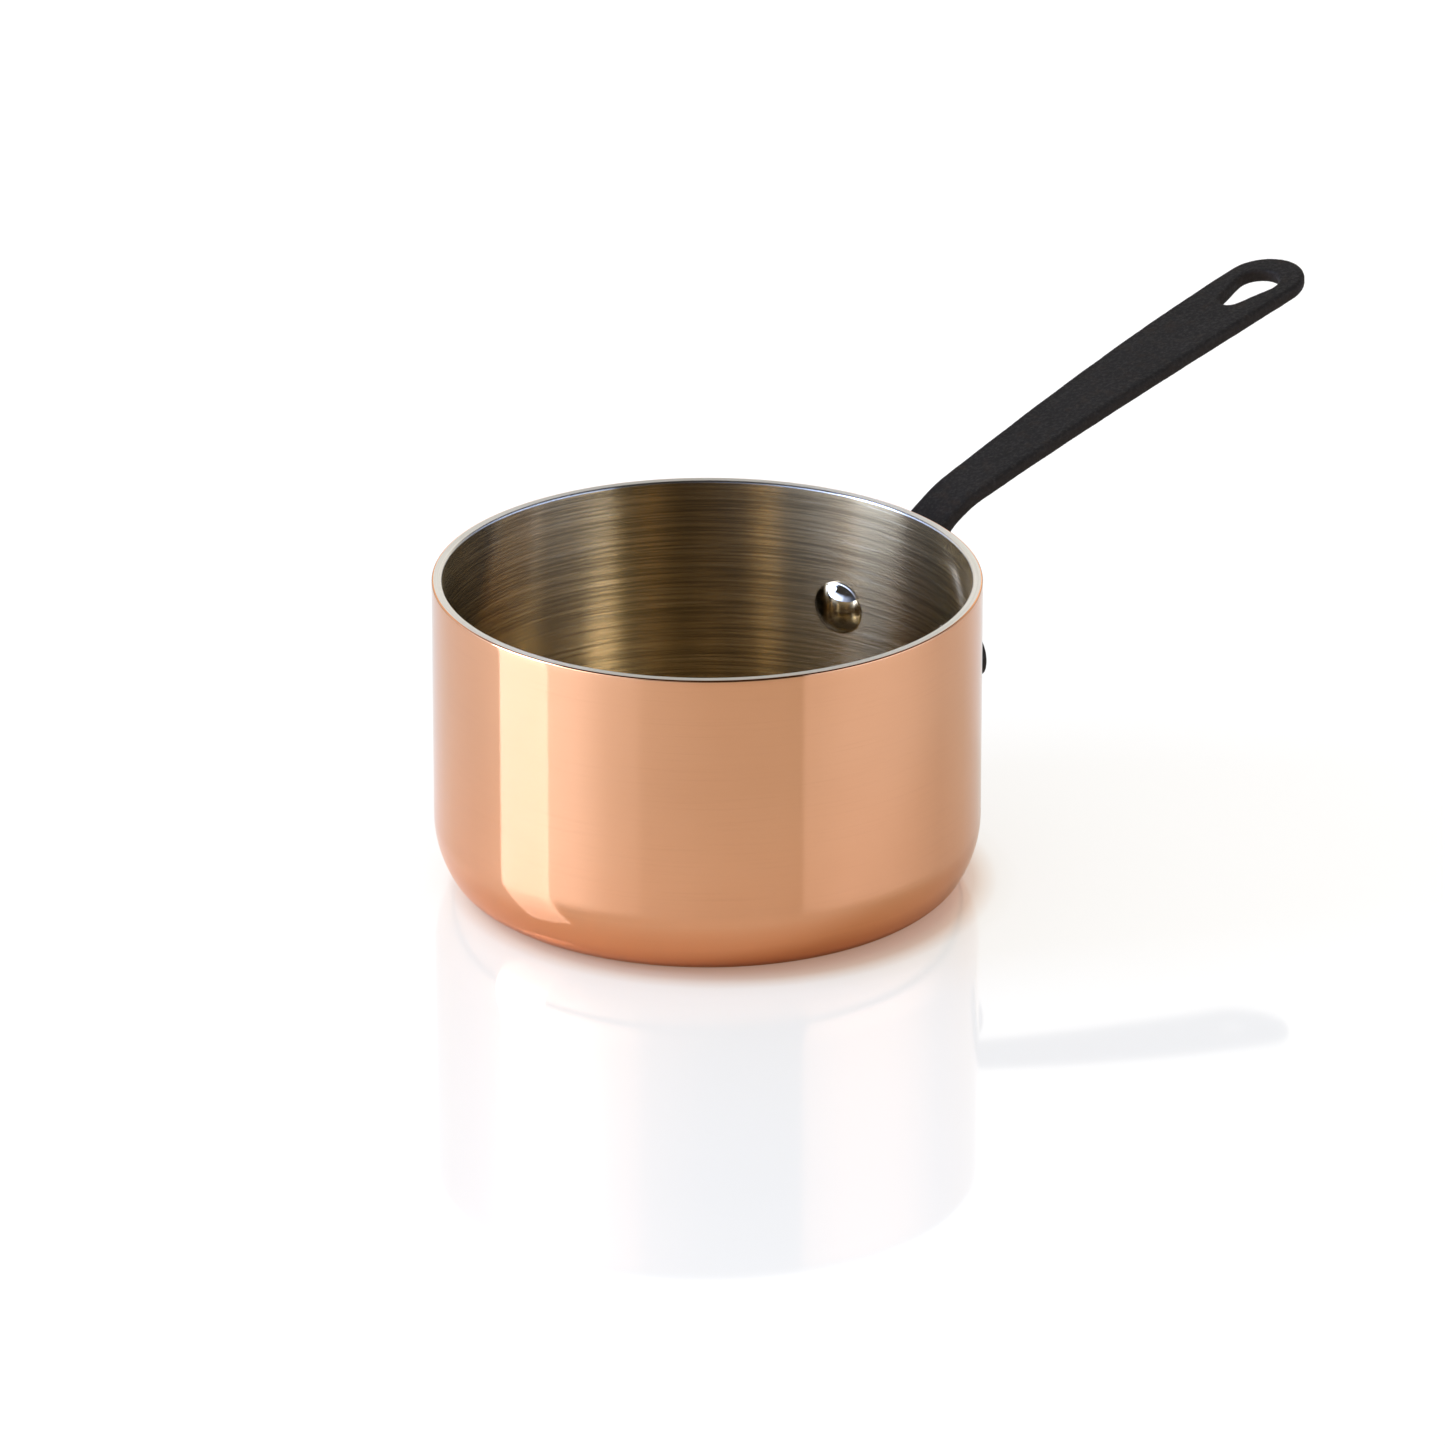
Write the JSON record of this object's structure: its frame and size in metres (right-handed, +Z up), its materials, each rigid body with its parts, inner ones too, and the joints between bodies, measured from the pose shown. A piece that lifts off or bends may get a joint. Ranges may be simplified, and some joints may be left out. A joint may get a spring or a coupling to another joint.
{
  "type": "small saucepan",
  "caption": "Small straight-walled clad-copper saucepan with a brushed steel inside and a long riveted cast-iron handle with a teardrop hanging hole.",
  "frame": {"origin": "centre of the base, on the surface the pan stands on", "axes": "+X along the handle, away from the pan; +Z up"},
  "size_m": [0.1851, 0.09, 0.0717],
  "materials": {
    "copper": "polished copper",
    "core": "turned satin at the rim",
    "liner": "brushed round the pan",
    "iron": "matte black, fine cast grain",
    "rivet": "polished"
  },
  "bodies": {
    "root": {"copper_shell": "copper", "aluminium_core": "core", "steel_liner": "liner", "handle": "iron", "rivet_left": "rivet", "rivet_right": "rivet"}
  },
  "joints": []
}
